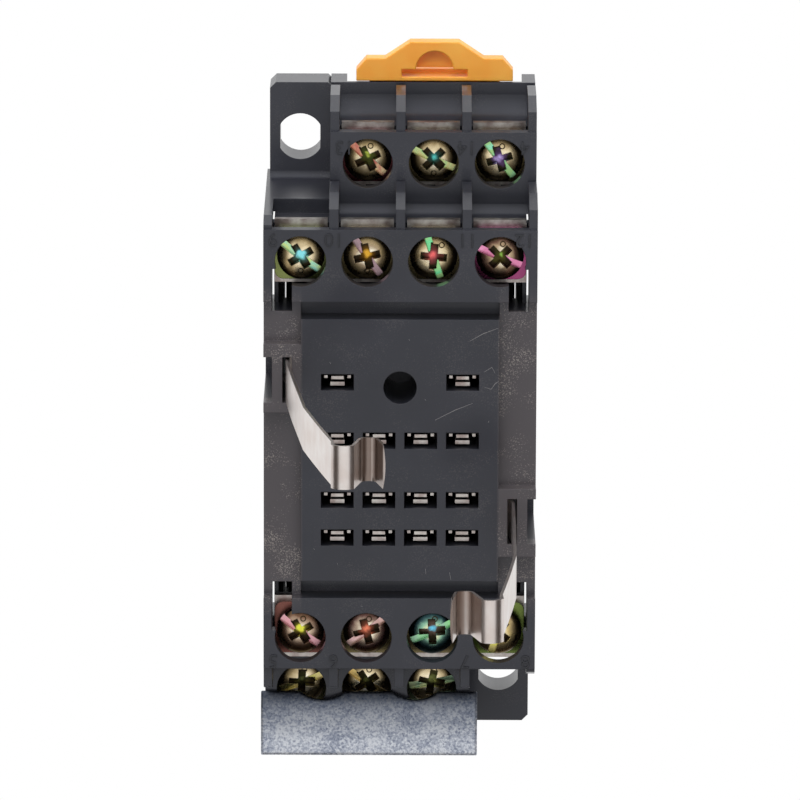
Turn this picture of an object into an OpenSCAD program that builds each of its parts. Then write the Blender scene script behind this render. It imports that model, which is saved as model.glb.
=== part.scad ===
// Fourteen-terminal relay socket for a 35 mm rail, with two hold-down clips
// and a zinc-plated steel guard over one row of terminals.
// X runs across the socket, Y along it (the rail slider is at +Y), Z up from the back.
// The two ends are the same shape turned half a turn about Z.

/* [Body] */
// Length of the moulding, end to end
body_len = 70.8; // [70:0.2:73]
// Width of the moulding
body_w = 28.8; // [28.6:0.1:30]
// Height of the top deck above the back
deck_z = 27; // [26.6:0.1:28]
// Height of the relay seat's side ledges below the deck
ledge_drop = 1.8; // [0.8:0.1:2.4]
// Half length of the relay seat
seat_half_y = 14.2; // [14:0.1:14.4]
// Half width of the relay seat
seat_half_x = 10.45; // [10.2:0.05:10.6]
// Width of the trench between the seat and the upper terminals
trench_w = 1.85; // [1.2:0.05:2.1]
// Depth of that trench
trench_depth = 3; // [1:0.1:4]
// Thickness of the cavity's side walls
side_wall = 2; // [1.8:0.1:2.2]
// Depth of the relief along each side
side_relief = 1.05; // [0.6:0.05:1.1]

/* [Terminal compartments] */
// Distance between neighbouring terminals
lane_pitch = 7; // [6.9:0.05:7.05]
// Thickness of the ribs between terminals
rib_w = 1; // [0.8:0.05:1.2]
// Distance between the upper and the lower row of screws
tier_step_y = 8.4; // [8.2:0.1:8.6]
// Height of the upper row above the lower row
tier_step_z = 10.5; // [10.2:0.1:10.8]
// Distance from the socket's middle to the upper row of screws
upper_screw_y = 20.4; // [20.3:0.1:20.7]
// Bore over an upper screw
upper_hole_d = 5.4; // [5.2:0.1:5.7]
// Bore over a lower screw
lower_hole_d = 5.3; // [5.2:0.1:5.7]
// Thickness of the finger guard over the screws
guard_t = 1.5; // [1:0.1:1.8]
// Distance from a screw's axis to the guard's edge
guard_reach = 3.4; // [3.2:0.1:3.6]
// Depth of the terminal strip's top face below the deck
strip_drop = 5.3; // [5.2:0.1:5.6]
// Height of the floor below the lower wire entries
entry_floor = 5; // [4.8:0.1:5.2]
// Radius of the curve from the floor to the wall
entry_fillet = 2.4; // [1:0.1:2.6]

/* [Mounting ears] */
// Step from the socket's side in to an ear's side
ear_inset = 0.35; // [0.1:0.05:0.5]
// Thickness of the ears
ear_t = 5.1; // [4.8:0.1:5.3]
// Distance from the middle to a mounting hole, along the socket
ear_hole_y = 29.5; // [29.3:0.1:29.8]
// Distance from the middle to a mounting hole, across the socket
ear_hole_x = 10.8; // [10.6:0.1:11.1]
// Diameter of a mounting hole
ear_hole_d = 5; // [4.6:0.1:5.4]
// Width of a mounting hole between its flats
ear_hole_w = 4.3; // [4.2:0.1:4.5]
// Radius of the curve from an ear to the wall behind it
ear_fillet = 0.8; // [0.4:0.1:1.2]

/* [Relay contacts] */
// Length of a contact slot
slot_len = 3.45; // [3.3:0.05:3.6]
// Width of a contact slot
slot_w = 1.76; // [1.7:0.02:1.9]
// Diameter of the locating bore in the seat
key_bore_d = 3.5; // [3:0.1:3.9]
// Depth of the locating bore
key_bore_depth = 10; // [8:0.5:12]

/* [Rail fixing] */
// Width of the notch for the rail
notch_w = 35.4; // [35.2:0.1:35.6]
// Depth of the notch for the rail
notch_depth = 4.6; // [4.4:0.1:4.8]
// Reach of the fixed hook and of the slider's nose under the rail
hook_reach = 1.4; // [1:0.1:1.8]
// Width of the slider's neck
slider_w = 14; // [12:0.5:14]
// Width of the slider's head
slider_head_w = 16.8; // [16:0.2:18]
// Reach of the slider's head past the socket's end
slider_reach = 4.25; // [3.8:0.05:5]
// Offset of the slider from the socket's middle
slider_x = 3.6; // [3.3:0.1:3.7]
// Depth of the recess for the slider's head
pocket_depth = 1.6; // [1:0.1:2]
// Thickness of the slider's head
head_plate_t = 2.2; // [1.6:0.1:2.6]
// Clearance around the slider
slider_gap = 0.1; // [0.05:0.01:0.2]

/* [Hold-down clips] */
// Width of the clip's spring leaf
clip_w = 4.5; // [4:0.1:4.6]
// Thickness of the spring leaf
clip_t = 0.3; // [0.25:0.01:0.4]
// Angle by which the clip at +X leans further outwards
clip_lean = 5.3; // [0:0.1:6]
// Angle by which it also leans towards its own end of the slot
clip_tilt = 1; // [0:0.1:1.2]
// Height of the relay that the clip holds
relay_h = 35.4; // [34:0.2:37]

/* [Terminal screws] */
// Diameter of a screw's head
head_d = 5; // [4.6:0.1:5.1]
// Height of a screw's head
head_h = 2; // [1.6:0.1:2.2]
// Diameter of a screw's shank
shank_d = 3; // [2.8:0.1:3]
// Length of a screw's shank
shank_len = 8; // [7:0.5:8]
// Clearance between a strip or a washer and the ribs beside it
strip_gap = 0.2; // [0.1:0.05:0.4]
// Thickness of the washer
washer_t = 0.8; // [0.6:0.1:1]
// Thickness of the terminal strip under the washer
strip_t = 1; // [0.8:0.1:1.2]
// Width of the strip's tail inside the housing
tail_w = 1.4; // [1.2:0.1:1.4]

/* [Steel guard] */
// Thickness of the sheet
sheet_t = 0.4; // [0.3:0.05:0.45]
// Height of the guard above the lower deck
guard_rise = 1.3; // [1:0.1:1.8]
// Depth of the folded sides
fold_depth = 3; // [2:0.1:3.4]
// Radius of the guard's curved edge
guard_r = 6.4; // [5:0.1:8]
// Width of the two shallow notches in the curved edge
guard_notch_w = 4.8; // [3:0.1:5]
// Depth of the two notches
guard_notch_d = 0.8; // [0.4:0.1:1]
// Distance between the two notches
guard_notch_pitch = 10; // [8:0.5:12]

/* [Hidden] */
TERMINALS = 14;
$fn = 64;
eps = 0.01;
half_len = body_len / 2;
half_w = body_w / 2;
lane_half = (lane_pitch - rib_w) / 2;
strip_w = 2 * (lane_half - strip_gap);
block_x = -lane_pitch - rib_w / 2;
side_rib = half_w - 2 * lane_pitch + rib_w / 2;
lower_deck_z = deck_z - tier_step_z;
upper_strip_z = deck_z - strip_drop;
lower_strip_z = upper_strip_z - tier_step_z;
upper_guard_y = upper_screw_y + guard_reach;
lower_guard_y = upper_guard_y + tier_step_y;
upper_wall_y = upper_guard_y - 0.5;
lower_wall_y = lower_guard_y - 0.5;
ear_wall_y = upper_guard_y + 1.1;
chamber_back = 3.4;
rib_nose_z = 4.2;
rib_slant_y = 1.1;
rib_slant_z = 3.7;
rib_top_drop = 0.5;
cavity_x = half_w - side_wall;
cavity_y = upper_wall_y - 1.3;
cavity_z = upper_strip_z - strip_t - 2.2;
relief_top = cavity_z + 0.5;
relief_y0 = 12;
relief_y1 = upper_wall_y + 0.2;
window_x0 = 11.4;
window_x1 = 13.55;
window_y0 = 14.7;
window_y1 = 19.6;
tongue_y = upper_screw_y - 3.4;
well_x = 12.9;
well_z = 12;
tower_y0 = 4.1;
tower_y1 = 11.5;
clip_y = 7.65;
clip_mouth = 1;
tip_bow_r = 11;
clip_x = 11.9;
pocket_x = 9.3;
pocket_drop = 6.4;
notch_drop = 14;
clip_play = 0.2;
pivot_z = deck_z - 0.3;
finger_x = 13.5;
plate_top = 2;
pin_x = [-6.6, -2.2, 2.2, 6.6];
coil_y = 7.4;
common_y = 1.1;
make_y = -5.35;
break_y = -9.45;
upper_tail_z = 13.4;
tail_t = 0.8;
inner_lane = 4.4;
outer_lane = 10;
guard_edge_y = upper_screw_y + tier_step_y + 0.2;
guard_bend_y = guard_edge_y + 3;
guard_far = half_len + 0.1 + sheet_t;
head_gap = 1;
pocket_roof = 0.6;
slider_mouth = 2;

// Each row: slot x, slot y, screw lane (-2, -1, 1 or 2), end (+1 or -1), tier, turn of the screw's slot
WIRING = [
    [pin_x[0], coil_y, -1, 1, 1, -43],
    [pin_x[3], coil_y, 1, 1, 1, -25],
    [pin_x[3], break_y, 2, 1, 1, -52],
    [pin_x[0], common_y, -2, 1, 2, -37],
    [pin_x[1], common_y, -1, 1, 2, -55],
    [pin_x[2], common_y, 1, 1, 2, -73],
    [pin_x[3], common_y, 2, 1, 2, -23],
    [pin_x[0], make_y, -2, -1, 2, -37],
    [pin_x[1], make_y, -1, -1, 2, 37],
    [pin_x[2], make_y, 1, -1, 2, 25],
    [pin_x[3], make_y, 2, -1, 2, 73],
    [pin_x[0], break_y, -2, -1, 1, 20],
    [pin_x[1], break_y, -1, -1, 1, -35],
    [pin_x[2], break_y, 1, -1, 1, 10]
];

function lane_x(lane) = sign(lane) * (abs(lane) - 0.5) * lane_pitch;
function tail_x(lane) = sign(lane) * (abs(lane) == 1 ? inner_lane : outer_lane);
function screw_y(w) = w[3] * (upper_screw_y + (w[4] == 1 ? tier_step_y : 0));
function strip_z(w) = w[4] == 1 ? lower_strip_z : upper_strip_z;
function tail_z(w) = w[4] == 1 ? lower_strip_z - strip_t : upper_tail_z;

// A box from its lowest to its highest corner
module span(a, b) {
    translate(a) cube(b - a);
}

// A (y, z) outline run from x0 to x1
module along_x(x0, x1) {
    translate([x0, 0, 0]) rotate([90, 0, 90]) linear_extrude(x1 - x0) children();
}

module both_ends() {
    children();
    rotate([0, 0, 180]) children();
}

// ---- Housing ----

// Wall with a curve of radius r between it and the floor in front of it
module floor_outline(wall_y, end_y, floor_z, r) {
    difference() {
        square([wall_y + r, floor_z + r]);
        translate([wall_y + r, floor_z + r]) circle(r);
    }
    square([end_y, floor_z]);
}

module rib_outline(guard_y, deck) {
    end_y = guard_y + half_len - lower_guard_y;
    polygon([
        [guard_y - 4, deck - 10],
        [end_y, deck - 10],
        [end_y, deck - rib_nose_z],
        [end_y - rib_slant_y, deck - rib_top_drop],
        [guard_y - 4, deck - rib_top_drop]
    ]);
}

module side_rib_outline() {
    polygon([
        [upper_guard_y - 4, deck_z - 12],
        [ear_wall_y, deck_z - 12],
        [ear_wall_y, deck_z - 2.4],
        [ear_wall_y - 0.7, deck_z - rib_top_drop],
        [upper_guard_y - 4, deck_z - rib_top_drop]
    ]);
}

module ear() {
    corner = 0.65;
    linear_extrude(ear_t) polygon([
        [-half_w + ear_inset, 20],
        [block_x + eps, 20],
        [block_x + eps, half_len - corner / 2],
        [block_x - corner / 2, half_len],
        [-half_w + ear_inset + corner, half_len],
        [-half_w + ear_inset, half_len - corner]
    ]);
}

module ear_hole() {
    translate([-ear_hole_x, ear_hole_y, -1]) intersection() {
        cylinder(d = ear_hole_d, h = lower_deck_z);
        translate([-ear_hole_w / 2, -ear_hole_d, 0]) cube([ear_hole_w, 2 * ear_hole_d, lower_deck_z]);
    }
}

// The solid forms of the +Y end
module end_solids() {
    along_x(-half_w, half_w) {
        square([upper_wall_y, deck_z]);
        translate([0, deck_z - guard_t]) square([upper_guard_y, guard_t]);
    }
    along_x(block_x, half_w) {
        floor_outline(upper_wall_y, lower_wall_y, lower_deck_z, entry_fillet / 2);
        translate([0, lower_deck_z - guard_t]) square([lower_guard_y, guard_t]);
        floor_outline(lower_wall_y, half_len, entry_floor, entry_fillet);
    }
    along_x(-half_w, block_x + eps) square([ear_wall_y, lower_deck_z - 0.5]);
    along_x(-half_w + ear_inset, block_x + eps) floor_outline(ear_wall_y, ear_wall_y, ear_t, ear_fillet);
    for (k = [-1:1]) {
        x = k * lane_pitch;
        along_x(x - rib_w / 2, x + rib_w / 2) {
            rib_outline(upper_guard_y, deck_z);
            rib_outline(lower_guard_y, lower_deck_z);
        }
    }
    along_x(half_w - side_rib, half_w) {
        rib_outline(upper_guard_y, deck_z);
        rib_outline(lower_guard_y, lower_deck_z);
    }
    along_x(-half_w, -half_w + side_rib) side_rib_outline();
    ear();
}

// One screw chamber with its bores, open towards the wire entry
module chamber(lane, y, deck, hole_d) {
    x = lane_x(lane);
    top = deck - strip_drop;
    seat = top - strip_t;
    span([x - lane_half, y - chamber_back, seat], [x + lane_half, y + guard_reach + 1, deck - guard_t]);
    translate([x, y, deck - guard_t - eps]) cylinder(d = hole_d, h = guard_t + 1);
    translate([x, y, seat - shank_len + 1]) cylinder(d = shank_d + 0.4, h = shank_len);
}

module end_cuts() {
    ear_hole();
    for (lane = [-2, -1, 1, 2]) {
        t = tail_x(lane);
        chamber(lane, upper_screw_y, deck_z, upper_hole_d);
        span(
            [t - tail_w / 2 - 0.1, upper_screw_y - chamber_back, cavity_z - eps],
            [t + tail_w / 2 + 0.1, upper_screw_y - chamber_back + tail_t + 0.2, upper_strip_z - strip_t + eps]
        );
    }
    for (lane = [-1, 1, 2]) {
        t = tail_x(lane);
        chamber(lane, upper_screw_y + tier_step_y, lower_deck_z, lower_hole_d);
        span(
            [t - tail_w / 2 - 0.1, cavity_y - 1, lower_strip_z - strip_t - 0.1],
            [t + tail_w / 2 + 0.1, upper_screw_y + tier_step_y - chamber_back + eps, lower_strip_z + 0.1]
        );
    }
    for (s = [-1, 1]) {
        // Side windows, and the slit that runs on down to the side relief
        span_x(s, window_x0, window_x1, window_y0, window_y1, upper_strip_z - strip_t, deck_z + 1);
        span_x(s, half_w - side_relief, window_x1, window_y0, window_y1, relief_top - 1, deck_z + 1);
        span_x(s, half_w - side_relief, half_w + 1, relief_y0, relief_y1, -1, relief_top);
        span_x(s, window_x0, well_x, window_y0, tongue_y, well_z, deck_z + 1);
        // Ledges beside the seat
        span_x(s, seat_half_x, half_w + 1, -eps, seat_half_y + trench_w, deck_z - ledge_drop, deck_z + 1);
    }
    // Trench between the seat and the upper guard
    span([-seat_half_x, seat_half_y, deck_z - trench_depth], [seat_half_x, seat_half_y + trench_w, deck_z + 1]);
}

// A box on the side given by s, from x0 to x1 counted outwards
module span_x(s, x0, x1, y0, y1, z0, z1) {
    translate([s > 0 ? x0 : -x1, y0, z0]) cube([x1 - x0, y1 - y0, z1 - z0]);
}

// Tower that holds a clip's foot, on the -X side
module clip_tower() {
    span([-half_w, tower_y0, 0], [-seat_half_x + eps, tower_y1, deck_z]);
}

module clip_tower_cuts() {
    slot_y = clip_w / 2 + clip_play;
    span(
        [-clip_x - clip_mouth / 2, clip_y - slot_y, deck_z - pocket_drop],
        [-clip_x + clip_mouth / 2, clip_y + slot_y, deck_z + 1]
    );
    span(
        [-clip_x - clip_mouth / 2, clip_y - slot_y, deck_z - pocket_drop],
        [-pocket_x, clip_y + slot_y, deck_z - 1]
    );
    span([-half_w - 1, clip_y - slot_y, deck_z - notch_drop], [-finger_x, clip_y + slot_y, deck_z + 1]);
}

// Recess in the end face for the slider's head
module head_pocket() {
    x = slider_head_w / 2 + head_gap;
    span([slider_x - x, half_len - pocket_depth, -1], [slider_x + x, half_len + 1, entry_floor - pocket_roof]);
}

module rail_channel() {
    reach = half_len + 1;
    span(
        [slider_x - slider_w / 2 - slider_gap, 0, slider_mouth - 0.4 - slider_gap],
        [slider_x + slider_w / 2 + slider_gap, reach, 3.4 + slider_gap]
    );
    span(
        [slider_x - slider_w / 2 + 2 - slider_gap, 0, -1],
        [slider_x + slider_w / 2 - 2 + slider_gap, reach, slider_mouth]
    );
}

module housing() {
    color("#3b3c42") difference() {
        union() {
            difference() {
                both_ends() end_solids();
                both_ends() end_cuts();
                translate([-cavity_x, -cavity_y, -1]) cube([2 * cavity_x, 2 * cavity_y, cavity_z + 1]);
            }
            both_ends() clip_tower_walls();
            translate([0, coil_y - 0.55, cavity_z - 4]) cylinder(d = key_bore_d + 2, h = 5);
        }
        both_ends() clip_tower_cuts();
        for (w = WIRING) translate([w[0] - slot_len / 2, w[1] - slot_w / 2, cavity_z - 1])
            cube([slot_len, slot_w, deck_z]);
        translate([0, coil_y - 0.55, deck_z - key_bore_depth]) cylinder(d = key_bore_d, h = key_bore_depth + 1);
        translate([-half_w - 1, -notch_w / 2, -1]) cube([body_w + 2, notch_w, notch_depth + 1]);
        rail_channel();
        head_pocket();
        // Core-outs in the back of the end without a slider
        for (lane = [-2, -1, 1]) translate([lane_x(lane) - 2.3, -half_len + 1.5, -1]) cube([4.6, 9.5, 3.2]);
    }
}

module clip_tower_walls() {
    difference() {
        clip_tower();
        translate([-cavity_x, -cavity_y, -1]) cube([2 * cavity_x, 2 * cavity_y, cavity_z + 1]);
    }
}

// ---- Back plate with the fixed rail hook ----

module base() {
    fit = 0.1;
    x = cavity_x - fit;
    y = cavity_y - fit;
    color("#333439") difference() {
        union() {
            span([-x, -y, notch_depth], [x, y, notch_depth + plate_top]);
            for (s = [-1, 1]) translate([-x, s > 0 ? notch_w / 2 : -y, 0])
                cube([2 * x, y - notch_w / 2, notch_depth + 1]);
            along_x(-x + 2, x - 2) polygon([
                [-notch_w / 2 - 0.5, 0.9],
                [-notch_w / 2 + hook_reach - 0.6, 0.9],
                [-notch_w / 2 + hook_reach, 1.6],
                [-notch_w / 2 + hook_reach, 3.3],
                [-notch_w / 2 - 0.5, 3.3]
            ]);
            // Ribs that stiffen the plate
            for (k = [-1:1]) span([k * 6 - 0.6, -y + 3, notch_depth + 1], [k * 6 + 0.6, y - 3, notch_depth + 4]);
        }
        rail_channel();
    }
}

// ---- Slider that hooks under the rail ----

module slider_head_outline() {
    w = slider_head_w / 2;
    polygon([
        [-w, 0], [w, 0], [w, 0.28 * slider_reach], [0.87 * w, 0.58 * slider_reach], [0.63 * w, 0.58 * slider_reach],
        [0.31 * w, slider_reach], [-0.31 * w, slider_reach], [-0.63 * w, 0.58 * slider_reach],
        [-0.87 * w, 0.58 * slider_reach], [-w, 0.28 * slider_reach]
    ]);
}

module rail_slider() {
    top = 3.4;
    bottom = 0.2;
    nose_y = notch_w / 2 - hook_reach;
    arm_cut = 0.8;
    head_z = 4.8;
    slot_x = 0.21 * slider_head_w;
    color("#efa12f") translate([slider_x, 0, 0]) difference() {
        union() {
            along_x(-slider_w / 2, slider_w / 2) polygon([
                [nose_y + 0.7, slider_mouth - 0.4], [half_len + 1, slider_mouth - 0.4], [half_len + 1, top],
                [nose_y, top], [nose_y, slider_mouth + 0.4]
            ]);
            span([-slider_w / 2 + 2, notch_w / 2 + 1, bottom], [slider_w / 2 - 2, half_len + 1, top]);
            translate([0, half_len + 0.1, head_z - head_plate_t]) linear_extrude(head_plate_t) slider_head_outline();
        }
        // Screwdriver slot with its half-round recess
        span([-slot_x, half_len + 0.55, 2.4], [slot_x, half_len + 1.35, 6]);
        translate([0, half_len + 1.35, 3.4]) intersection() {
            cylinder(r = 2, h = 3);
            translate([-3, 0, 0]) cube([6, 3, 3]);
        }
        // Cuts that free the two side arms
        for (s = [-1, 1]) span_x(s, slider_w / 2 - 2 - arm_cut, slider_w / 2 - 2, 23, 33, -1, 6);
    }
}

// ---- Hold-down clips ----

// The leaf's centre line in (x, z), counted from the foot's axis and the deck
function clip_line() = concat(
    [[0.7, -5.2], [0.12, -5.2], [0, -5.08], [0, 0.6], [0.85, 10], [2.1, 22.2]],
    [for (a = [1:6]) let (p = a / 6) [2.1 + 2.75 * p + 0.25 * p * p, 22.2 + (relay_h - 20.3) * p]],
    [for (a = [150:-10:50]) [6.3 + 1.35 * cos(a), relay_h + 2.65 + 1.35 * sin(a)]],
    [for (a = [215:10:325]) [8.75 + 1.05 * cos(a), relay_h + 1.2 + 1.05 * sin(a)]],
    [[10.35, relay_h + 3.6]]
);

function unit(v) = v / norm(v);
function side_of(v) = [-v[1], v[0]];
function leg(p, i) = side_of(unit(p[i + 1] - p[i]));
function miter(a, b) = unit(a + b) / sqrt((1 + a * b) / 2);
function side_at(p, i) = i == 0 ? leg(p, 0) : i == len(p) - 1 ? leg(p, i - 1) : miter(leg(p, i - 1), leg(p, i));

module ribbon(p, t) {
    n = len(p);
    polygon(concat(
        [for (i = [0:n - 1]) p[i] + side_at(p, i) * t / 2],
        [for (i = [n - 1:-1:0]) p[i] - side_at(p, i) * t / 2]
    ));
}

module clip() {
    color("#cfc9c2") translate([-clip_x, clip_y + clip_w / 2, deck_z]) {
        intersection() {
            rotate([90, 0, 0]) linear_extrude(clip_w) ribbon(clip_line(), clip_t);
            // Bowed end of the leaf
            translate([10.45 - tip_bow_r, -clip_w / 2, -10]) cylinder(r = tip_bow_r, h = relay_h + 20, $fn = 360);
        }
        // Dimple that centres the leaf in its slot
        intersection() {
            translate([0.5, -clip_w / 2, -0.9]) sphere(r = 0.9);
            translate([-2, -clip_w / 2 - 2, -2]) cube([1.95, 4, 4]);
        }
    }
}

module clip_left() clip();
module clip_right() rotate([0, 0, 180]) translate([-clip_x, 0, pivot_z])
    rotate([clip_tilt, -clip_lean, 0]) translate([clip_x, 0, -pivot_z]) clip();

// ---- Folded steel guard over the lower terminals at -Y ----

// All that lies under the guard's surface once it is lowered by d
module under_guard(d) {
    translate([-guard_far + d, -10]) square([guard_far - d - guard_bend_y, 10 + guard_rise - d]);
    translate([-guard_bend_y, guard_rise - guard_r]) circle(guard_r - d, $fn = 180);
}

module guard_section(edge_y) {
    intersection() {
        under_guard(0);
        translate([-guard_far, guard_rise - fold_depth]) square([guard_far - edge_y, fold_depth + 1]);
    }
}

module steel_guard() {
    x0 = -half_w - 0.05;
    x1 = -block_x + 0.5;
    mid = (x0 + x1) / 2;
    notch_r = (pow(guard_notch_w / 2, 2) + pow(guard_notch_d, 2)) / (2 * guard_notch_d);
    color("#9aa0aa") translate([0, 0, lower_deck_z]) difference() {
        union() {
            along_x(x0 - sheet_t, x1 + sheet_t) difference() {
                guard_section(guard_edge_y);
                under_guard(sheet_t);
            }
            for (x = [x0 - sheet_t, x1]) along_x(x, x + sheet_t) guard_section(guard_edge_y + 1.4);
        }
        for (s = [-1, 1]) translate([mid + s * guard_notch_pitch / 2, -guard_edge_y - guard_notch_d + notch_r, -1])
            cylinder(r = notch_r, h = guard_rise + 2);
    }
}

// ---- Terminals, washers and screws ----

module contact(w) {
    base_z = 16.2;
    tip_z = deck_z - 1.2;
    translate([w[0], w[1], 0]) {
        span([-0.65, 0.08, base_z], [0.65, 0.42, tip_z]);
        span([-0.75, -0.6, base_z], [0.75, -0.2, tip_z]);
        // Guides beside the upper leaf
        span([-1.4, 0.1, tip_z - 3.6], [1.4, 0.4, tip_z - 2.8]);
        for (x = [-1.4, 1.05]) span([x, 0.1, tip_z - 3.6], [x + 0.35, 0.4, tip_z - 0.5]);
        translate([-0.68, -0.6, base_z - 0.6]) cube([1.36, 1.2, 1]);
        translate([-tail_w / 2 + 0.1, -0.4, tail_z(w)]) cube([tail_w - 0.2, 0.8, base_z - tail_z(w)]);
    }
}

module terminal(i) {
    w = WIRING[i - 1];
    s = w[3];
    x = lane_x(w[2]);
    t = tail_x(w[2]);
    z = tail_z(w);
    top = strip_z(w);
    height = w[4] == 1 ? strip_t : tail_t;
    back = abs(screw_y(w)) - chamber_back + 0.1;
    front = abs(screw_y(w)) + guard_reach + 0.05;
    color("#b9aa9a") {
        difference() {
            span([x - strip_w / 2, min(s * back, s * front), top - strip_t], [x + strip_w / 2, max(s * back, s * front), top]);
            translate([x, screw_y(w), top - 2]) cylinder(d = shank_d + 0.1, h = 3);
        }
        // Tail along the housing, with a jog to the contact's slot
        span(
            [t - tail_w / 2, min(w[1], s * (back + tail_t)), z],
            [t + tail_w / 2, max(w[1], s * (back + tail_t)), z + height]
        );
        span(
            [min(w[0], t) - tail_w / 2 + 0.1, w[1] - 0.7, z],
            [max(w[0], t) + tail_w / 2 - 0.1, w[1] + 0.7, z + height]
        );
        if (w[4] == 2) span(
            [t - tail_w / 2, min(s * back, s * (back + tail_t)), z],
            [t + tail_w / 2, max(s * back, s * (back + tail_t)), top]
        );
        contact(w);
    }
}

module washer(i) {
    w = WIRING[i - 1];
    corner = 0.9;
    color("#c0a85e") translate([lane_x(w[2]), screw_y(w), strip_z(w)]) difference() {
        linear_extrude(washer_t) polygon([
            for (c = [0:3], a = [0:3]) let (q = c * 90 + 45, h = strip_w / 2 - corner)
                [sqrt(2) * h * cos(q), sqrt(2) * h * sin(q)] + corner * [cos(q - 45 + a * 30), sin(q - 45 + a * 30)]
        ]);
        translate([0, 0, -1]) cylinder(d = shank_d + 0.3, h = 3);
    }
}

module screw(i) {
    w = WIRING[i - 1];
    z = strip_z(w) + washer_t;
    dome_r = (pow(head_d / 2, 2) + pow(0.45, 2)) / (2 * 0.45);
    color("#b59a52") translate([lane_x(w[2]), screw_y(w), z]) rotate([0, 0, w[5]]) {
        difference() {
            intersection() {
                cylinder(d = head_d, h = head_h);
                cylinder(r1 = 0.69 * head_d, r2 = 0.41 * head_d, h = head_h);
                translate([0, 0, head_h - dome_r]) sphere(r = dome_r);
            }
            translate([-head_d, -0.38, head_h - 0.8]) cube([2 * head_d, 0.76, 2]);
            for (a = [-22, 68]) rotate([0, 0, a]) translate([-1.4, -0.4, head_h - 1.5]) cube([2.8, 0.8, 2]);
        }
        translate([0, 0, -shank_len + 0.3]) cylinder(d = shank_d, h = shank_len - 0.3 + eps);
        translate([0, 0, -shank_len]) cylinder(d1 = shank_d - 0.6, d2 = shank_d, h = 0.3);
    }
}

housing();
base();
rail_slider();
clip_left();
clip_right();
steel_guard();
for (i = [1:TERMINALS]) {
    terminal(i);
    washer(i);
    screw(i);
}
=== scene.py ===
import math

import bmesh
import bpy
from mathutils import Matrix, Vector


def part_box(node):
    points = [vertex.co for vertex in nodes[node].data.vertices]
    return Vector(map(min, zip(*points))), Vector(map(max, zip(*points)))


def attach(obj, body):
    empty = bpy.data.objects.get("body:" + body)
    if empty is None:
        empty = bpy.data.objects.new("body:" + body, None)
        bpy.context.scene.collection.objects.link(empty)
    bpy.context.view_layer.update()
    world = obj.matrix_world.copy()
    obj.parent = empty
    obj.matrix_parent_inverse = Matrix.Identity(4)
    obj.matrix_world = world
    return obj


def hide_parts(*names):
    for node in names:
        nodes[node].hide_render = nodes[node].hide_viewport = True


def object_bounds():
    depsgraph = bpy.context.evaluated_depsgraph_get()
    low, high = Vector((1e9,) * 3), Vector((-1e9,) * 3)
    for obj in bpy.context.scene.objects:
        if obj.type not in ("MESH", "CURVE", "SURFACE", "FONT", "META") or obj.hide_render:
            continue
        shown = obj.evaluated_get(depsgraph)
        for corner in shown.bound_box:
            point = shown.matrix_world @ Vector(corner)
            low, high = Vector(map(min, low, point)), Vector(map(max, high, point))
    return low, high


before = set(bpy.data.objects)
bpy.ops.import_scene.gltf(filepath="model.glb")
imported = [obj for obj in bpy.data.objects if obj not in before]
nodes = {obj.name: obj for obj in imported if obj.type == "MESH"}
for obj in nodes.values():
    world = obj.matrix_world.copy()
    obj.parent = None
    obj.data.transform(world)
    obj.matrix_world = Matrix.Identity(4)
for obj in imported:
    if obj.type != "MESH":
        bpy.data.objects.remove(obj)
cadLow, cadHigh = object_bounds()
terminalCount = 14
millimetresPerMetre = 1000
print("frame loaded:", len(nodes), "nodes")


def linearColour(hexText):
    channels = [int(hexText[i : i + 2], 16) / 255 for i in (1, 3, 5)]
    return [c / 12.92 if c <= 0.04045 else ((c + 0.055) / 1.055) ** 2.4 for c in channels] + [1]


# settings hold sockets by name or number and properties by name, links hold sockets
def addNode(material, kind, settings=None, links=None):
    tree = material.node_tree
    node = tree.nodes.new(kind)
    for key, value in (settings or {}).items():
        if key == "ramp":
            while len(node.color_ramp.elements) < len(value):
                node.color_ramp.elements.new(0.5)
            for element, (place, colour) in zip(node.color_ramp.elements, value):
                element.position = place
                element.color = linearColour(colour)
        elif isinstance(key, int) or not hasattr(node, key):
            node.inputs[key].default_value = value
        else:
            setattr(node, key, value)
    for key, socket in (links or {}).items():
        tree.links.new(socket, node.inputs[key])
    return node


# Each of the next functions adds one node and gives the socket that holds its result
def objectPlace(material):
    return addNode(material, "ShaderNodeTexCoord").outputs["Object"]


def noise(material, place, scale, detail, extra=None):
    settings = dict({"Scale": scale, "Detail": detail}, **(extra or {}))
    return addNode(material, "ShaderNodeTexNoise", settings, {"Vector": place}).outputs["Fac"]


def ramp(material, factor, stops):
    return addNode(material, "ShaderNodeValToRGB", {"ramp": stops}, {"Fac": factor}).outputs[0]


# One sum on a socket and, where it takes two, on a second socket or a number
def reckon(material, operation, first, second=None):
    settings, links = {"operation": operation}, {0: first}
    if isinstance(second, (int, float)):
        settings[1] = second
    elif second is not None:
        links[1] = second
    return addNode(material, "ShaderNodeMath", settings, links).outputs[0]


# first * factor + second
def multiplyAdd(material, first, factor, second):
    settings = {"operation": "MULTIPLY_ADD", 1: factor}
    return addNode(material, "ShaderNodeMath", settings, {0: first, 2: second}).outputs[0]


# Carries low and high to newLow and newHigh, and holds what lies past them
def carry(material, value, low, high, newLow=0, newHigh=1):
    settings = {"From Min": low, "From Max": high, "To Min": newLow, "To Max": newHigh}
    return addNode(material, "ShaderNodeMapRange", settings, {"Value": value}).outputs[0]


# Lays a colour, a hex text or a socket, over another
def overlay(material, factor, under, over):
    settings, links = {"data_type": "RGBA"}, {0: factor, 6: under}
    if isinstance(over, str):
        settings[7] = linearColour(over)
    else:
        links[7] = over
    return addNode(material, "ShaderNodeMix", settings, links).outputs[2]


def roundedNormal(material, radius, samples=6):
    return addNode(material, "ShaderNodeBevel", {"samples": samples, "Radius": radius}).outputs[0]


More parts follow.
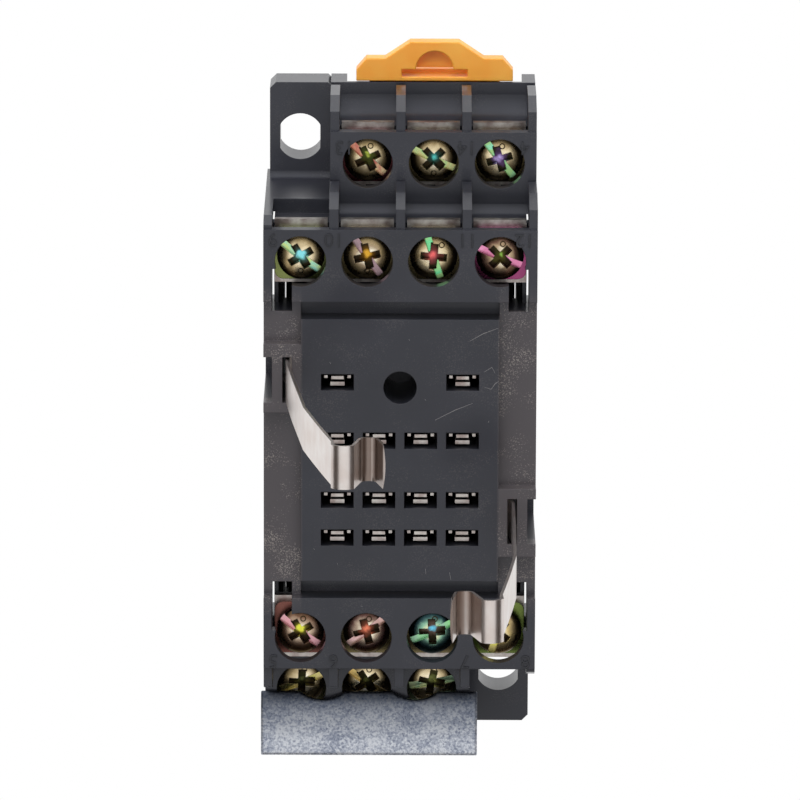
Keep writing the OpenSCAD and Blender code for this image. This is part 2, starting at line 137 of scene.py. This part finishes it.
def bumpy(material, height, strength, distance, normal=None):
    links = {"Height": height}
    if normal:
        links["Normal"] = normal
    settings = {"Strength": strength, "Distance": distance}
    return addNode(material, "ShaderNodeBump", settings, links).outputs[0]


def newMaterial(name):
    material = bpy.data.materials.new(name)
    material.use_nodes = True
    material.node_tree.nodes.clear()
    return material


def finishMaterial(material, settings, links):
    shader = addNode(material, "ShaderNodeBsdfPrincipled", settings, links)
    addNode(material, "ShaderNodeOutputMaterial", None, {"Surface": shader.outputs[0]})
    return material


def dress(objectOrName, material):
    target = nodes[objectOrName] if isinstance(objectOrName, str) else objectOrName
    target.data.materials.clear()
    target.data.materials.append(material)


# The middle of a node's box at its top, from which a pattern on it is centred
def middleOf(name):
    low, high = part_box(name)
    return Vector(((low.x + high.x) / 2, (low.y + high.y) / 2, high.z))


def bodyOf(name):
    moving = {"rail_slider": "slider", "clip_left": "left_clip", "clip_right": "right_clip"}
    return moving.get(name, "socket")


# Takes over the working mesh and frees it
def newPiece(name, mesh, material):
    data = bpy.data.meshes.new(name)
    mesh.to_mesh(data)
    mesh.free()
    piece = bpy.data.objects.new(name, data)
    bpy.context.scene.collection.objects.link(piece)
    dress(piece, material)
    return piece


copying = {
    "mergeDistance": 1e-6,
    "facetDegrees": 0.3,
    "cornerDegrees": 55,
    "cornerSegments": 3,
    "normalWeight": 90,
}


# A copy of a node with its facets joined and edges shallower than sharpDegrees shaded smooth.
# settle turns it a little about a point, and rounding is the size of a round on its corners
def smoothCopy(name, source, sharpDegrees, material, settle=None, rounding=0):
    mesh = bmesh.new()
    mesh.from_mesh(nodes[source].data)
    if settle:
        turn = Matrix.Rotation(settle["angle"], 3, "X")
        bmesh.ops.rotate(mesh, verts=mesh.verts, cent=settle["foot"], matrix=turn)
    bmesh.ops.remove_doubles(mesh, verts=mesh.verts, dist=copying["mergeDistance"])
    flat = math.radians(copying["facetDegrees"])
    bmesh.ops.dissolve_limit(mesh, angle_limit=flat, verts=mesh.verts, edges=mesh.edges)
    if rounding:
        corner = math.radians(copying["cornerDegrees"])
        corners = [e for e in mesh.edges if e.is_manifold and e.calc_face_angle() > corner]
        bmesh.ops.bevel(
            mesh,
            geom=corners,
            offset=rounding,
            segments=copying["cornerSegments"],
            profile=0.5,
            affect="EDGES",
            clamp_overlap=True,
            material=-1,
        )
    limit = math.radians(sharpDegrees)
    for face in mesh.faces:
        face.smooth = True
    for edge in mesh.edges:
        edge.smooth = len(edge.link_faces) == 2 and edge.calc_face_angle() < limit
    copy = newPiece(name, mesh, material)
    flatter = copy.modifiers.new("weighted", "WEIGHTED_NORMAL")
    flatter.keep_sharp = True
    flatter.weight = copying["normalWeight"]
    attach(copy, bodyOf(source))
    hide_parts(source)


mouldingFinish = {
    "deep": "#202127",
    "pale": "#2a2b32",
    "brown": "#4c4749",
    "dust": "#a8a09a",
    "roughness": 0.42,
    "cloudMillimetres": 9,
    "grainMillimetres": 0.16,
    "grainHeight": 0.00003,
    "edgeRadius": 0.00012,
    # the ledges: beside the seat, short of its ends, and from just under the deck's height
    "seatHalfWidth": 0.01045,
    "ledgeEnd": (0.018, 0.014),
    "ledgeHeight": (0.0242, 0.0251),
    "speckScale": 8200,
    "patchScale": 230,
    "speckLevels": (0.32, 0.47),
    "dustOnLedges": 0.6,
    "dustEverywhere": 0.07,
}


# Glass-filled polycarbonate, moulded in a spark-eroded tool: blue charcoal with a fine even grain,
# small rounded edges that catch the light, and brown dust on the ledges beside the seat
def mouldedPolycarbonate(name, finish):
    material = newMaterial(name)
    place = objectPlace(material)
    cloud = noise(material, place, millimetresPerMetre / finish["cloudMillimetres"], 4)
    body = ramp(material, cloud, [(0.35, finish["deep"]), (0.65, finish["pale"])])
    axes = addNode(material, "ShaderNodeSeparateXYZ", None, {0: place}).outputs
    half = finish["seatHalfWidth"]
    across = reckon(material, "ABSOLUTE", axes["X"])
    beside = carry(material, across, half - 0.0002, half + 0.0001)
    along = reckon(material, "ABSOLUTE", axes["Y"])
    middle = carry(material, along, *finish["ledgeEnd"])
    high = carry(material, axes["Z"], *finish["ledgeHeight"])
    ledge = reckon(material, "MULTIPLY", reckon(material, "MULTIPLY", beside, middle), high)
    tinted = overlay(material, ledge, body, finish["brown"])
    speck = noise(material, place, finish["speckScale"], 0)
    patch = noise(material, place, finish["patchScale"], 3)
    specks = carry(material, reckon(material, "MULTIPLY", speck, patch), *finish["speckLevels"])
    onLedges = reckon(material, "MULTIPLY", ledge, finish["dustOnLedges"])
    dustHere = reckon(material, "ADD", onLedges, finish["dustEverywhere"])
    dust = reckon(material, "MULTIPLY", specks, dustHere)
    dusty = overlay(material, dust, tinted, finish["dust"])
    rough = carry(material, cloud, 0, 1, finish["roughness"] - 0.06, finish["roughness"] + 0.08)
    grain = noise(material, place, millimetresPerMetre / finish["grainMillimetres"], 2)
    rounded = roundedNormal(material, finish["edgeRadius"])
    return finishMaterial(
        material,
        {"IOR": 1.5, "Specular Tint": (0.86, 0.89, 1, 1), "Coat Weight": 0.35, "Coat Roughness": 0.14},
        {
            "Base Color": dusty,
            "Roughness": rough,
            "Normal": bumpy(material, grain, 0.2, finish["grainHeight"], rounded),
        },
    )


sliderFinish = {"deep": "#fba538", "pale": "#ffb84c", "edgeRadius": 0.0002, "glowDepth": 0.001}


# Polycarbonate coloured through: orange, smooth, a little lighter where the light passes thin edges
def orangePolycarbonate():
    material = newMaterial("orangePolycarbonate")
    cloud = noise(material, objectPlace(material), 260, 4)
    body = ramp(material, cloud, [(0.3, sliderFinish["deep"]), (0.7, sliderFinish["pale"])])
    rounded = roundedNormal(material, sliderFinish["edgeRadius"])
    return finishMaterial(
        material,
        {
            "Roughness": 0.42,
            "IOR": 1.58,
            "Subsurface Weight": 0.15,
            "Subsurface Scale": sliderFinish["glowDepth"],
        },
        {"Base Color": body, "Normal": bumpy(material, cloud, 0.15, 0.00003, rounded)},
    )


# The bend's band fades from full at its inner width to nothing at its outer width
clipFinish = {
    "deep": "#d2c5be",
    "pale": "#e2dcd8",
    "bend": "#6f5d53",
    "bendInner": 0.0009,
    "bendOuter": 0.0014,
    "bendStrength": 0.85,
    "lineHalfWidth": 0.00012,
    "hookHeight": 0.058,
}


# Nickel over rolled spring steel: bright and warm, with faint rolling lines along the strip,
# and a brown tone painted inside the hook's bend, with one bright line, in place of a reflection
def nickelSpringSteel(name, bendX):
    material = newMaterial(name)
    place = objectPlace(material)
    rolled = addNode(material, "ShaderNodeMapping", {"Scale": (300, 7000, 300)}, {"Vector": place})
    lines = noise(material, rolled.outputs[0], 1, 3)
    cloud = noise(material, place, 350, 3)
    body = ramp(material, cloud, [(0.3, clipFinish["deep"]), (0.7, clipFinish["pale"])])
    axes = addNode(material, "ShaderNodeSeparateXYZ", None, {0: place}).outputs
    apart = reckon(material, "ABSOLUTE", reckon(material, "SUBTRACT", axes["X"], bendX))
    outer, inner = clipFinish["bendOuter"], clipFinish["bendInner"]
    band = carry(material, apart, outer, inner, 0, clipFinish["bendStrength"])
    lineHalf = clipFinish["lineHalfWidth"]
    besideLine = carry(material, apart, lineHalf, 2 * lineHalf, 0.2, 1)
    high = reckon(material, "GREATER_THAN", axes["Z"], clipFinish["hookHeight"])
    brown = reckon(material, "MULTIPLY", reckon(material, "MULTIPLY", band, besideLine), high)
    return finishMaterial(
        material,
        {"Metallic": 1},
        {
            "Base Color": overlay(material, brown, body, clipFinish["bend"]),
            "Roughness": carry(material, lines, 0, 1, 0.28, 0.36),
            "Normal": bumpy(material, lines, 0.03, 0.00001),
        },
    )


sheetFinish = {
    "deep": "#808798",
    "middle": "#aeb4c2",
    "pale": "#dfe3ea",
    "spangleScale": 4600,
    "fineScale": 3600,
    "hazeScale": 260,
    # the dark reflection of the housing, painted towards the curved edge, and where it starts and is full
    "paintedEdgeReflection": "#2f3643",
    "clearY": -0.0345,
    "edgeY": -0.0297,
    "edgeRadius": 0.0005,
}


# Electro-galvanised steel sheet: blue-grey, with a fine crystalline grain and hazy patches, and a painted
# dark reflection of the housing towards its curved inner edge
def galvanisedSheet():
    material = newMaterial("galvanisedSheet")
    place = objectPlace(material)
    settings = {"Scale": sheetFinish["spangleScale"]}
    cells = addNode(material, "ShaderNodeTexVoronoi", settings, {"Vector": place})
    cell = addNode(material, "ShaderNodeSeparateColor", None, {0: cells.outputs["Color"]}).outputs[0]
    fine = noise(material, place, sheetFinish["fineScale"], 4, {"Roughness": 0.7})
    haze = noise(material, place, sheetFinish["hazeScale"], 4, {"Roughness": 0.6})
    spangle = multiplyAdd(material, cell, 0.3, fine)
    level = carry(material, multiplyAdd(material, haze, 0.8, spangle), 0.75, 1.25)
    stops = [(0.1, sheetFinish["deep"]), (0.5, sheetFinish["middle"]), (0.9, sheetFinish["pale"])]
    body = ramp(material, level, stops)
    along = addNode(material, "ShaderNodeSeparateXYZ", None, {0: place}).outputs["Y"]
    # painted reflection of the dark housing, strongest at the curved inner edge
    paintedReflection = carry(material, along, sheetFinish["clearY"], sheetFinish["edgeY"], 0, 0.85)
    rounded = roundedNormal(material, sheetFinish["edgeRadius"])
    return finishMaterial(
        material,
        {"Metallic": 1},
        {
            "Base Color": overlay(material, paintedReflection, body, sheetFinish["paintedEdgeReflection"]),
            "Roughness": carry(material, level, 0, 1, 0.26, 0.42),
            "Normal": bumpy(material, spangle, 0.25, 0.00002, rounded),
        },
    )


stripFinish = {"stain": "#a2948f", "middle": "#c2bab5", "clean": "#dedad4", "stainScale": 900}


# Tin-plated brass strip that has tarnished: grey-beige with warmer stains
def tarnishedStrip():
    material = newMaterial("tarnishedStrip")
    stain = noise(material, objectPlace(material), stripFinish["stainScale"], 5)
    stops = [(0.35, stripFinish["stain"]), (0.5, stripFinish["middle"]), (0.7, stripFinish["clean"])]
    return finishMaterial(
        material,
        {"Metallic": 1},
        {"Base Color": ramp(material, stain, stops), "Roughness": carry(material, stain, 0, 1, 0.25, 0.5)},
    )


# ringReach, in metres, is the unit of ringAt, the place of the small ring struck into each head
screwLook = {
    "headRadius": 0.0025,
    "slotDepth": 0.0008,
    "crossDepth": 0.0015,
    "ringReach": 0.0014,
    "ringRadius": 0.00026,
    "ringHalfWidth": 0.00006,
    "ringTint": "#3a3020",
    "driftScale": 620,
    "drift": 0.0008,
    "edgeRadius": 0.0001,
}


# Yellow chromate on zinc: a thin straw-coloured coat that turns green, pink or blue on the floors of the
# slot and the cross. On the head a painted highlight, near white at the centre, goes over to painted shade
# round the rim, and the cross is painted dark as shade in its recess, with a painted glint at its middle
def chromatedSteel(name, centre, hues):
    material = newMaterial(name)
    place = objectPlace(material)
    settings = {"operation": "SUBTRACT", 1: tuple(centre)}
    local = addNode(material, "ShaderNodeVectorMath", settings, {0: place}).outputs[0]
    settings = {"operation": "MULTIPLY", 1: (1, 1, 0)}
    flat = addNode(material, "ShaderNodeVectorMath", settings, {0: local}).outputs[0]
    radius = addNode(material, "ShaderNodeVectorMath", {"operation": "LENGTH"}, {0: flat}).outputs["Value"]
    drift = noise(material, place, screwLook["driftScale"], 3, {"Distortion": 0.8})
    settings = {"operation": "MULTIPLY_ADD", 1: 2 * screwLook["drift"], 2: -screwLook["drift"]}
    wander = addNode(material, "ShaderNodeMath", settings, {0: drift}).outputs[0]
    reach = carry(material, reckon(material, "ADD", radius, wander), 0, screwLook["headRadius"])
    # painted highlight at the head's centre, going over to painted shade at its rim
    paintedLightDomeStops = [(0.2, hues["centre"]), (0.45, hues["dome"]), (0.7, hues["outer"]), (0.98, hues["rim"])]
    dome = ramp(material, reach, paintedLightDomeStops)
    slot = ramp(material, drift, [(0.38, hues["slot"]), (0.62, hues["slotTurn"])])
    # painted glint at the middle of the cross, then painted shade along its arms
    paintedCrossStops = [(0.06, hues["paintedGlint"]), (0.2, hues["cross"]), (0.4, hues["crossEnd"])]
    cross = ramp(material, reach, paintedCrossStops)
    height = addNode(material, "ShaderNodeSeparateXYZ", None, {0: local}).outputs["Z"]
    inSlot = reckon(material, "LESS_THAN", height, -0.8 * screwLook["slotDepth"])
    inCross = reckon(material, "LESS_THAN", height, -0.7 * screwLook["crossDepth"])
    colour = overlay(material, inSlot, dome, overlay(material, inCross, slot, cross))
    ringPlace = tuple(screwLook["ringReach"] * v for v in hues["ringAt"]) + (0,)
    settings = {"operation": "DISTANCE", 1: ringPlace}
    fromRing = addNode(material, "ShaderNodeVectorMath", settings, {0: flat}).outputs["Value"]
    settings = {"operation": "COMPARE", 1: screwLook["ringRadius"], 2: screwLook["ringHalfWidth"]}
    ring = addNode(material, "ShaderNodeMath", settings, {0: fromRing}).outputs[0]
    return finishMaterial(
        material,
        {"Metallic": 1},
        {
            "Base Color": overlay(material, ring, colour, screwLook["ringTint"]),
            "Roughness": carry(material, drift, 0, 1, 0.18, 0.36),
            "Normal": roundedNormal(material, screwLook["edgeRadius"], 4),
        },
    )


# The head from its centre to its rim, a painted highlight going over to painted shade, the floor of the
# slot, and the cross from its middle out, a painted glint and then painted shade
plainScrew = {
    "centre": "#fff6dc", "dome": "#e6d4ac", "outer": "#b09a70", "rim": "#62543a",
    "slot": "#c8b890", "slotTurn": "#a89a70",
    "paintedGlint": "#e0d0a0", "cross": "#54452f", "crossEnd": "#2c251a",
    "ringAt": (0.2, 1),
}
# Where each screw differs from the plain one
screwHues = {
    1: {"slot": "#d8c89a", "slotTurn": "#c87a6a", "paintedGlint": "#cfe060", "cross": "#444c22"},
    2: {
        "slot": "#a8d090", "slotTurn": "#d0c88a", "paintedGlint": "#60d0c8", "cross": "#2b4c45",
        "ringAt": (0, -1.1),
    },
    3: {"slot": "#90e8c8", "slotTurn": "#a8d890", "paintedGlint": "#c8b0f0", "cross": "#574067"},
    4: {
        "slot": "#c8e090", "slotTurn": "#a0e0d0", "paintedGlint": "#90e8f0", "cross": "#405750",
        "ringAt": (0, -1.1),
    },
    5: {
        "slot": "#b898a0", "slotTurn": "#a08a90", "paintedGlint": "#e8b040", "cross": "#634517",
        "dome": "#b09c80", "ringAt": (0, -1.1),
    },
    6: {
        "slot": "#70e0a0", "slotTurn": "#a8d890", "paintedGlint": "#f07070", "cross": "#7e4040",
        "ringAt": (0.6, 0.9),
    },
    7: {
        "slot": "#f0a0c8", "slotTurn": "#e08ab0", "paintedGlint": "#a0d860", "cross": "#4c4c22",
        "dome": "#b8a080", "outer": "#7a5a4c",
    },
    8: {
        "slot": "#e0a0a8", "slotTurn": "#d8a8b0", "paintedGlint": "#e0e050", "cross": "#635c22",
        "dome": "#c0a890", "outer": "#80604c",
    },
    9: {
        "slot": "#e0b8b8", "slotTurn": "#b89888", "paintedGlint": "#f08868", "cross": "#734030",
        "dome": "#b09c88", "outer": "#70504a",
    },
    10: {
        "slot": "#90d890", "slotTurn": "#a0c8b0", "paintedGlint": "#70d0f0", "cross": "#5c4c44",
        "centre": "#eaf0c4", "dome": "#8fc0a4", "outer": "#3a585c", "rim": "#161e20",
    },
    11: {
        "slot": "#d8d860", "slotTurn": "#e0c890", "paintedGlint": "#404038", "cross": "#221f17",
        "dome": "#d8c080",
    },
    12: {"slot": "#c8c070", "slotTurn": "#d8c88a", "paintedGlint": "#b8c070", "cross": "#4c4a2c"},
    13: {"slot": "#d0a860", "slotTurn": "#d8c88a", "paintedGlint": "#b8c070", "cross": "#4c4a2c"},
    14: {"slot": "#98b898", "slotTurn": "#b8c89a", "paintedGlint": "#b8c070", "cross": "#4c4a2c"},
}
# The corner of a washer that shows beside its screw
plainWasher = "#7c7050"
washerHues = {
    1: "#7c464a",
    4: "#7c8450",
    7: "#9a4a74",
    8: "#7a5048",
    11: "#6c7c40",
    12: "#7c7850",
    13: "#7c7450",
    14: "#70785a",
}

dress("housing", mouldedPolycarbonate("charcoalPolycarbonate", mouldingFinish))
baseFinish = dict(mouldingFinish, dust="#3a393c", roughness=0.55)
dress("base", mouldedPolycarbonate("matteCharcoalPolycarbonate", baseFinish))
smoothCopy("railSlider", "rail_slider", 35, orangePolycarbonate(), rounding=0.0002)
# Where each clip's hook bends, and a turn about the foot that makes up for the solid's lean,
# which the source gives the wrong sign
clipLook = {
    "left": {"bendX": -0.0027, "settle": None},
    "right": {"bendX": 0.0056, "settle": {"foot": (0.0119, -0.00765, 0.0267), "angle": math.radians(1.7)}},
}
for side, look in clipLook.items():
    nickel = nickelSpringSteel(side + "NickelSpringSteel", look["bendX"])
    smoothCopy(f"{side}HoldDownClip", f"clip_{side}", 12, nickel, look["settle"])
smoothCopy("terminalGuard", "steel_guard", 35, galvanisedSheet(), rounding=0.00014)
strip = tarnishedStrip()
for number in range(1, terminalCount + 1):
    dress(f"terminal_{number}", strip)
    screw, washer = f"screw_{number}", f"washer_{number}"
    hues = dict(plainScrew, **screwHues[number])
    chromate = chromatedSteel(f"chromatedSteel{number}", middleOf(screw), hues)
    smoothCopy(f"terminalScrew{number}", screw, 50, chromate)
    tint = washerHues.get(number, plainWasher)
    # the washer keeps the screw's painted highlight towards its middle and takes its own tint out to the
    # rim
    dull = dict(hues, outer=tint, rim=tint, slot=tint, slotTurn=tint, crossEnd=tint)
    dress(washer, chromatedSteel(f"chromatedWasher{number}", middleOf(washer), dull))
print("materials ready")


deckHeight = 0.027
lowerDeckHeight = 0.0165
markSettings = {
    "textSize": 0.0021,
    "relief": 0.00016,
    "numeralDeep": "#16171b",
    "numeralPale": "#1a1b20",
    "scratchTint": "#8f8d8e",
    "scratchWidth": 0.00006,
    "lift": 0.00001,
    # text, x and y in millimetres, and the deck it stands on
    "numbers": [
        ("13", -6.0, 30.6, lowerDeckHeight),
        ("14", 7.0, 30.6, lowerDeckHeight),
        ("4", 13.1, 30.6, lowerDeckHeight),
        ("9", -13.4, 22.8, deckHeight),
        ("10", -7.0, 22.8, deckHeight),
        ("11", 7.0, 22.8, deckHeight),
        ("12", 13.0, 22.8, deckHeight),
        ("5", -13.4, -22.9, deckHeight),
        ("6", -7.0, -22.9, deckHeight),
        ("7", 7.0, -22.9, deckHeight),
        ("8", 13.4, -22.9, deckHeight),
    ],
    # each a line of x and y in millimetres
    "scratches": [
        [(3.7, 3.36), (5.8, 4.45), (7.69, 5.21)],
        [(8.83, 8.56), (9.67, 9.1), (9.99, 8.45)],
        [(8.9, 6.94), (9.6, 6.72), (10.0, 7.3), (10.4, 7.6)],
        [(7.34, 11.91), (8.7, 12.7), (10.3, 13.31)],
        [(2.75, -12.8), (2.8, -13.4)],
        [(5.3, -13.2), (5.45, -14.0)],
        [(-6.6, -12.2), (-6.55, -12.4)],
        [(-9.1, -10.6), (-9.0, -10.75)],
        [(0.9, 12.1), (1.0, 11.95)],
        [(2.6, 5.6), (2.75, 5.5)],
        [(-4.1, -16.9), (-3.9, -17.0)],
        [(3.4, -18.9), (3.7, -19.0)],
        [(9.3, 3.1), (9.4, 3.3)],
        [(-7.4, 9.6), (-7.3, 9.4)],
        [(8.3, -6.1), (8.4, -6.3)],
    ],
}


def addMark(name, mesh, material):
    mark = newPiece(name, mesh, material)
    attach(mark, "socket")


# Terminal numbers that stand up a little from the decks, read from the slider's end
def makeNumbers():
    merged = bmesh.new()
    for text, x, y, deck in markSettings["numbers"]:
        data = bpy.data.curves.new("number" + text, "FONT")
        data.body = text
        data.size = markSettings["textSize"]
        data.extrude = markSettings["relief"]
        data.align_x = "CENTER"
        data.align_y = "CENTER"
        writing = bpy.data.objects.new("number" + text, data)
        bpy.context.scene.collection.objects.link(writing)
        bpy.context.view_layer.update()
        shape = bpy.data.meshes.new_from_object(writing)
        place = (x / millimetresPerMetre, y / millimetresPerMetre, deck)
        shape.transform(Matrix.Translation(place) @ Matrix.Rotation(math.pi, 4, "Z"))
        merged.from_mesh(shape)
        bpy.data.objects.remove(writing)
    finish = dict(mouldingFinish, deep=markSettings["numeralDeep"], pale=markSettings["numeralPale"])
    addMark("terminalNumbers", merged, mouldedPolycarbonate("numeralPolycarbonate", finish))


# Fine pale scratches on the seat, half as wide at their ends
def makeScratches():
    mark = newMaterial("scuffedPolycarbonate")
    finishMaterial(mark, {"Base Color": linearColour(markSettings["scratchTint"]), "Roughness": 0.6}, None)
    half = markSettings["scratchWidth"] / 2
    height = deckHeight + markSettings["lift"]
    merged = bmesh.new()
    for line in markSettings["scratches"]:
        points = [Vector((x / millimetresPerMetre, y / millimetresPerMetre, height)) for x, y in line]
        last = len(points) - 1
        rows = []
        for i, point in enumerate(points):
            ahead = points[min(i + 1, last)] - points[max(i - 1, 0)]
            side = Vector((-ahead.y, ahead.x, 0)).normalized() * half * (0.5 if i in (0, last) else 1)
            rows.append((merged.verts.new(point + side), merged.verts.new(point - side)))
        for (a, b), (c, d) in zip(rows, rows[1:]):
            merged.faces.new((a, b, d, c))
    merged.normal_update()
    for face in merged.faces:
        if face.normal.z < 0:
            face.normal_flip()
    addMark("scratches", merged, mark)


makeNumbers()
makeScratches()
print("marks ready")


studio = {
    "floorSide": 6,
    "floorDrop": 0.0002,
    "skyStrength": 0.4,
    "lamps": [
        {"name": "topBox", "at": (0.0, 0.8, 0.55), "side": 0.7, "power": 5.5},
        {"name": "leftBox", "at": (-0.75, 0.15, 0.55), "side": 0.5, "power": 1.8},
        {"name": "rightBox", "at": (0.8, 0.1, 0.5), "side": 0.4, "power": 0.8},
        {"name": "endBox", "at": (0.0, 0.9, 0.1), "side": 0.4, "power": 3.0},
    ],
    # brown boards that only reflections and bounced light see
    "boardTint": "#4c3f38",
    "boards": [
        {"name": "leftBoard", "at": (-0.42, 0.0, 0.22), "size": (0.7, 0.42)},
        {"name": "rightBoard", "at": (0.42, 0.0, 0.22), "size": (0.7, 0.42)},
        {"name": "frontBoard", "at": (0.0, -0.45, 0.3), "size": (0.8, 0.5)},
    ],
}


# 1 where the camera sees a thing, straight, mirrored or through clear parts, and 0 where it only
# lights other things
def seenByEye(material):
    path = addNode(material, "ShaderNodeLightPath").outputs
    straight = reckon(material, "MAXIMUM", path["Is Camera Ray"], path["Is Glossy Ray"])
    return reckon(material, "MAXIMUM", straight, path["Is Transmission Ray"])


# White all round to the eye, and dimmer as a light
def makeSky():
    world = bpy.data.worlds.new("paleStudio")
    world.use_nodes = True
    world.node_tree.nodes.clear()
    bpy.context.scene.world = world
    strength = carry(world, seenByEye(world), 0, 1, studio["skyStrength"], 1)
    light = addNode(world, "ShaderNodeBackground", {"Color": (1, 1, 1, 1)}, {"Strength": strength})
    addNode(world, "ShaderNodeOutputWorld", None, {"Surface": light.outputs[0]})


# White board, just under the part, that glows evenly to the eye and is clear from below
def makeFloor():
    board = newMaterial("whiteBoard")
    matte = addNode(board, "ShaderNodeBsdfDiffuse", {"Color": (0.9, 0.9, 0.9, 1)}).outputs[0]
    glow = addNode(board, "ShaderNodeEmission", {"Strength": 1}).outputs[0]
    above = addNode(board, "ShaderNodeMixShader", None, {0: seenByEye(board), 1: matte, 2: glow}).outputs[0]
    below = addNode(board, "ShaderNodeNewGeometry").outputs["Backfacing"]
    clear = addNode(board, "ShaderNodeBsdfTransparent").outputs[0]
    oneSided = addNode(board, "ShaderNodeMixShader", None, {0: below, 1: above, 2: clear})
    addNode(board, "ShaderNodeOutputMaterial", None, {"Surface": oneSided.outputs[0]})
    mesh = bmesh.new()
    bmesh.ops.create_grid(mesh, x_segments=1, y_segments=1, size=studio["floorSide"] / 2)
    bmesh.ops.translate(mesh, verts=mesh.verts, vec=(0, 0, cadLow.z - studio["floorDrop"]))
    newPiece("floor", mesh, board)


def makeLamps():
    for lamp in studio["lamps"]:
        data = bpy.data.lights.new(lamp["name"], "AREA")
        data.size = lamp["side"]
        data.energy = lamp["power"]
        box = bpy.data.objects.new(lamp["name"], data)
        box.location = lamp["at"]
        box.rotation_euler = Vector(lamp["at"]).to_track_quat("Z", "Y").to_euler()
        box.visible_glossy = False
        bpy.context.scene.collection.objects.link(box)


def makeBoards():
    brown = newMaterial("brownFelt")
    felt = addNode(brown, "ShaderNodeBsdfDiffuse", {"Color": linearColour(studio["boardTint"])})
    addNode(brown, "ShaderNodeOutputMaterial", None, {"Surface": felt.outputs[0]})
    for board in studio["boards"]:
        mesh = bmesh.new()
        bmesh.ops.create_grid(mesh, x_segments=1, y_segments=1, size=0.5)
        bmesh.ops.scale(mesh, verts=mesh.verts, vec=(board["size"][0], board["size"][1], 1))
        turn = (-Vector(board["at"])).to_track_quat("Z", "Y").to_matrix().to_4x4()
        bmesh.ops.transform(mesh, verts=mesh.verts, matrix=Matrix.Translation(board["at"]) @ turn)
        piece = newPiece(board["name"], mesh, brown)
        piece.visible_camera = False
        piece.visible_shadow = False


# A long lens that leans towards the slider's end and looks almost straight down; angles in degrees
cameraPlace = {
    "distance": 0.855,
    "tilt": 13.05,
    "roll": 0.186,
    "lens": 355.5,
    "sensor": 36,
    "nearest": 0.05,
    "aim": (0, 0.00043, 0.005),
}


def makeCamera():
    tilt = math.radians(cameraPlace["tilt"])
    roll = math.radians(cameraPlace["roll"])
    back = Vector((0, math.sin(tilt), math.cos(tilt)))
    up = Vector((-math.sin(roll), math.cos(roll) * math.cos(tilt), -math.cos(roll) * math.sin(tilt)))
    right = up.cross(back)
    data = bpy.data.cameras.new("camera")
    data.lens = cameraPlace["lens"]
    data.sensor_width = cameraPlace["sensor"]
    data.clip_start = cameraPlace["nearest"]
    camera = bpy.data.objects.new("camera", data)
    turn = Matrix((right, up, back)).transposed().to_4x4()
    place = Vector(cameraPlace["aim"]) + back * cameraPlace["distance"]
    camera.matrix_world = Matrix.Translation(place) @ turn
    bpy.context.scene.collection.objects.link(camera)
    bpy.context.scene.camera = camera


makeSky()
makeFloor()
makeLamps()
makeBoards()
makeCamera()
bpy.context.scene.view_settings.view_transform = "Standard"
print("studio ready")
